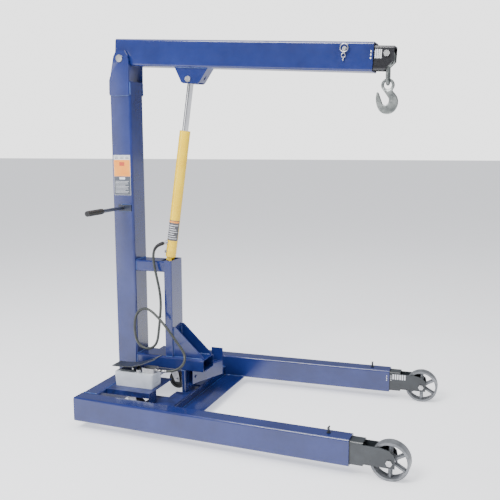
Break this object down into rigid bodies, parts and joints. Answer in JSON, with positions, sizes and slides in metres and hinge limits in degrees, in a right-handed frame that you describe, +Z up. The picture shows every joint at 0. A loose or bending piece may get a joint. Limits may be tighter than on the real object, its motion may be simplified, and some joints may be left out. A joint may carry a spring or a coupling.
{
  "type": "engine hoist crane",
  "caption": "Wheeled floor crane with splayed legs, upright mast, pin-locked telescoping boom, hydraulic lifting ram, foot pump and a swinging load hook.",
  "frame": {"origin": "centre of the bounding box at floor level", "axes": "+X forward along the boom and legs, +Y to the left, +Z up"},
  "size_m": [1.9825, 1.3018, 2.3211],
  "materials": {
    "blue_paint": "gloss enamel",
    "yellow_paint": "gloss enamel",
    "chrome_rod": "polished",
    "charcoal_paint": "satin enamel",
    "dark_steel": "satin",
    "black_rubber": "matte",
    "hose_rubber": "satin",
    "label_film": "printed film",
    "reservoir_paint": "satin enamel",
    "cast_wheel": "painted casting",
    "caster_tread": "satin",
    "zinc_steel": "zinc plated"
  },
  "bodies": {
    "frame": {"leg_sleeves": "blue_paint", "rear_rail": "blue_paint", "front_cross_tube": "blue_paint", "front_cross_plate": "blue_paint", "deck_plates": "blue_paint", "tray_plates": "blue_paint", "tray_posts": "blue_paint", "mast_foot_plate": "blue_paint", "mast_tube": "blue_paint", "mast_ears": "blue_paint", "boom_pivot_pin": "zinc_steel", "base_beam": "blue_paint", "beam_post": "blue_paint", "ram_column": "blue_paint", "column_gussets": "blue_paint", "tie_tube": "blue_paint", "ram_base_lugs": "blue_paint", "ram_base_pin": "zinc_steel", "brace_arm": "blue_paint", "push_handle_bar": "dark_steel", "push_grip": "black_rubber", "rating_plate": "label_film", "caster_races": "zinc_steel", "pump_reservoir": "reservoir_paint", "pump_body": "charcoal_paint", "pump_valve_block": "zinc_steel", "treadle_pin": "zinc_steel", "hose": "hose_rubber", "hose_pump_fitting": "zinc_steel"},
    "boom": {"boom_tube": "blue_paint", "boom_pivot_bush": "zinc_steel", "ram_bracket": "blue_paint", "ram_head_pin": "zinc_steel"},
    "boom_extension": {"boom_extension": "charcoal_paint", "hook_bolt": "zinc_steel"},
    "boom_lock_pin": {"boom_lock_pin": "zinc_steel"},
    "load_link": {"load_link": "zinc_steel"},
    "shackle": {"shackle": "zinc_steel", "shackle_pin": "zinc_steel"},
    "hook": {"hook": "zinc_steel"},
    "ram_cylinder": {"ram_barrel": "yellow_paint", "ram_gland": "yellow_paint", "ram_base_tang": "yellow_paint", "ram_port_fitting": "zinc_steel"},
    "ram_rod": {"ram_piston": "chrome_rod", "ram_rod": "chrome_rod", "ram_rod_eye": "charcoal_paint"},
    "treadle": {"treadle": "charcoal_paint"},
    "leg_extension_right": {"leg_extension_right": "charcoal_paint", "front_axle_right": "zinc_steel"},
    "front_wheel_right": {"front_wheel_right": "cast_wheel"},
    "leg_lock_pin_right": {"leg_lock_pin_right": "zinc_steel"},
    "caster_fork_right": {"caster_fork_right": "zinc_steel"},
    "caster_wheel_right": {"caster_wheel_right": "caster_tread"},
    "leg_extension_left": {"leg_extension_left": "charcoal_paint", "front_axle_left": "zinc_steel"},
    "front_wheel_left": {"front_wheel_left": "cast_wheel"},
    "leg_lock_pin_left": {"leg_lock_pin_left": "zinc_steel"},
    "caster_fork_left": {"caster_fork_left": "zinc_steel"},
    "caster_wheel_left": {"caster_wheel_left": "caster_tread"}
  },
  "joints": [
    {"name": "boom_hinge", "type": "hinge", "parent": "frame", "child": "boom", "pos_m": [-0.90025, 0, 2.198], "axis": [0, -1, 0], "range_deg": [-10, 35]},
    {"name": "ram_tilt", "type": "hinge", "parent": "frame", "child": "ram_cylinder", "pos_m": [-0.63125, 0, 0.925], "axis": [0, -1, 0], "range_deg": [-0.25, 0.82], "deforming": ["hose"]},
    {"name": "ram_rod_slide", "type": "slide", "parent": "ram_cylinder", "child": "ram_rod", "axis": [0.1459, 0, 0.9893], "range_m": [-0.079, 0.275]},
    {"name": "boom_extend", "type": "slide", "parent": "boom", "child": "boom_extension", "axis": [0.9982, 0, -0.0604], "range_m": [0, 0.45]},
    {"name": "boom_lock_pin_pull", "type": "slide", "parent": "boom", "child": "boom_lock_pin", "axis": [0, -1, 0], "range_m": [0, 0.06]},
    {"name": "load_link_swing", "type": "hinge", "parent": "boom_extension", "child": "load_link", "pos_m": [0.72647, 0, 2.16076], "axis": [0, -1, 0], "range_deg": [-24, 20]},
    {"name": "shackle_swing", "type": "hinge", "parent": "load_link", "child": "shackle", "pos_m": [0.72647, 0, 2.11436], "axis": [0, -1, 0], "range_deg": [-10, 20]},
    {"name": "hook_swing", "type": "hinge", "parent": "shackle", "child": "hook", "pos_m": [0.72647, 0, 2.00236], "axis": [0, -1, 0], "range_deg": [-10, 20]},
    {"name": "treadle_rock", "type": "hinge", "parent": "frame", "child": "treadle", "pos_m": [-0.75625, -0.25, 0.307], "axis": [0, 1, 0], "range_deg": [-3, 5]},
    {"name": "leg_extend_right", "type": "slide", "parent": "frame", "child": "leg_extension_right", "axis": [0.9995, -0.0332, 0], "range_m": [0, 0.45]},
    {"name": "front_wheel_spin_right", "type": "hinge", "parent": "leg_extension_right", "child": "front_wheel_right", "pos_m": [0.88872, -0.60037, 0.1016], "axis": [0.0332, 0.9995, 0], "continuous": true},
    {"name": "leg_lock_pin_pull_right", "type": "slide", "parent": "frame", "child": "leg_lock_pin_right", "axis": [0, 0, 1], "range_m": [0, 0.06]},
    {"name": "caster_swivel_right", "type": "hinge", "parent": "frame", "child": "caster_fork_right", "pos_m": [-0.76625, -0.292, 0.18], "axis": [0, 0, 1], "continuous": true},
    {"name": "caster_wheel_spin_right", "type": "hinge", "parent": "caster_fork_right", "child": "caster_wheel_right", "pos_m": [-0.72925, -0.292, 0.0635], "axis": [0, 1, 0], "continuous": true},
    {"name": "leg_extend_left", "type": "slide", "parent": "frame", "child": "leg_extension_left", "axis": [0.9995, 0.0332, 0], "range_m": [0, 0.45]},
    {"name": "front_wheel_spin_left", "type": "hinge", "parent": "leg_extension_left", "child": "front_wheel_left", "pos_m": [0.88872, 0.60037, 0.1016], "axis": [-0.0332, 0.9995, 0], "continuous": true},
    {"name": "leg_lock_pin_pull_left", "type": "slide", "parent": "frame", "child": "leg_lock_pin_left", "axis": [0, 0, 1], "range_m": [0, 0.06]},
    {"name": "caster_swivel_left", "type": "hinge", "parent": "frame", "child": "caster_fork_left", "pos_m": [-0.76625, 0.292, 0.18], "axis": [0, 0, 1], "continuous": true},
    {"name": "caster_wheel_spin_left", "type": "hinge", "parent": "caster_fork_left", "child": "caster_wheel_left", "pos_m": [-0.72925, 0.292, 0.0635], "axis": [0, 1, 0], "continuous": true}
  ],
  "couplings": [
    {"joint": "ram_tilt", "follows": "boom_hinge", "ratio": 0.0225},
    {"joint": "ram_rod_slide", "follows": "boom_hinge", "m_per_rad": 0.449}
  ]
}
